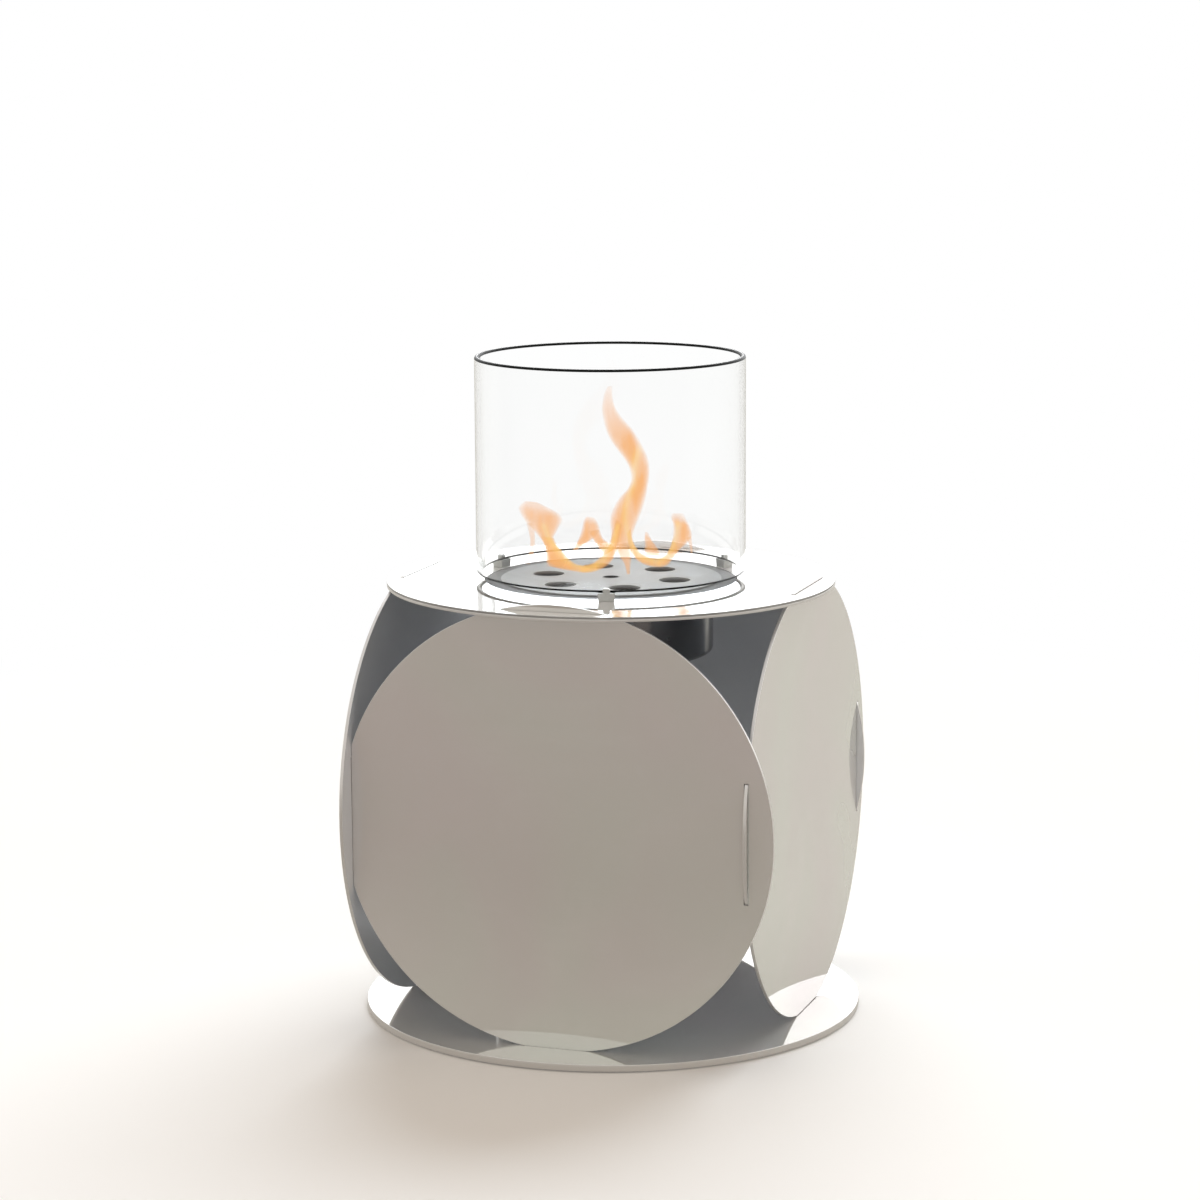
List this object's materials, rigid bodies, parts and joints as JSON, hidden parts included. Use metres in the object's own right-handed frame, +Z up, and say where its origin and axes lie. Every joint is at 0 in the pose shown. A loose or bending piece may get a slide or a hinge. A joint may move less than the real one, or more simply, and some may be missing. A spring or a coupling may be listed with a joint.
{
  "type": "bioethanol fireplace",
  "caption": "Free-standing bioethanol fireplace: interlocked upright steel discs between a round base and top, with a round burner inside a glass cylinder.",
  "frame": {"origin": "on the floor under the middle of the base", "axes": "+Z up; the front disc's outer face looks along -Y; +X is to the right of the front disc"},
  "size_m": [0.465, 0.465, 0.6135],
  "materials": {
    "mirror_steel": "mirror-polished stainless steel",
    "satin_steel": "fine satin",
    "dark_steel": "glossy, heat-darkened",
    "clip_steel": "satin",
    "clear_glass": "clear, polished ends",
    "pad_rubber": "matt black",
    "ceramic_wool": "felted ceramic fibre"
  },
  "bodies": {
    "stand": {"base_plate": "mirror_steel", "pad_1": "pad_rubber", "pad_2": "pad_rubber", "pad_3": "pad_rubber", "pad_4": "pad_rubber", "panel_front": "mirror_steel", "panel_right": "mirror_steel", "panel_back": "mirror_steel", "panel_left": "mirror_steel", "bracket_front": "satin_steel", "bracket_right": "satin_steel", "bracket_back": "satin_steel", "bracket_left": "satin_steel", "screw_front_1": "dark_steel", "screw_front_2": "dark_steel", "screw_right_1": "dark_steel", "screw_right_2": "dark_steel", "screw_back_1": "dark_steel", "screw_back_2": "dark_steel", "screw_left_1": "dark_steel", "screw_left_2": "dark_steel", "top_backing": "mirror_steel", "top_plate": "mirror_steel", "glass_clip_1": "clip_steel", "glass_clip_2": "clip_steel", "glass_clip_3": "clip_steel", "clip_nut_1": "dark_steel", "clip_nut_2": "dark_steel", "clip_nut_3": "dark_steel"},
    "burner": {"burner_deck": "satin_steel", "burner_tank": "dark_steel", "burner_wool": "ceramic_wool"},
    "regulator": {"regulator_disc": "satin_steel", "regulator_pin": "dark_steel"},
    "glass": {"glass_cylinder": "clear_glass"}
  },
  "joints": [
    {"name": "burner_lift", "type": "slide", "parent": "stand", "child": "burner", "axis": [0, 0, 1], "range_m": [0, 0.09]},
    {"name": "regulator_turn", "type": "hinge", "parent": "burner", "child": "regulator", "pos_m": [0, 0, 0.405], "axis": [0, 0, 1], "range_deg": [0, 30]},
    {"name": "glass_lift", "type": "slide", "parent": "stand", "child": "glass", "axis": [0, 0, 1], "range_m": [0, 0.12]}
  ]
}
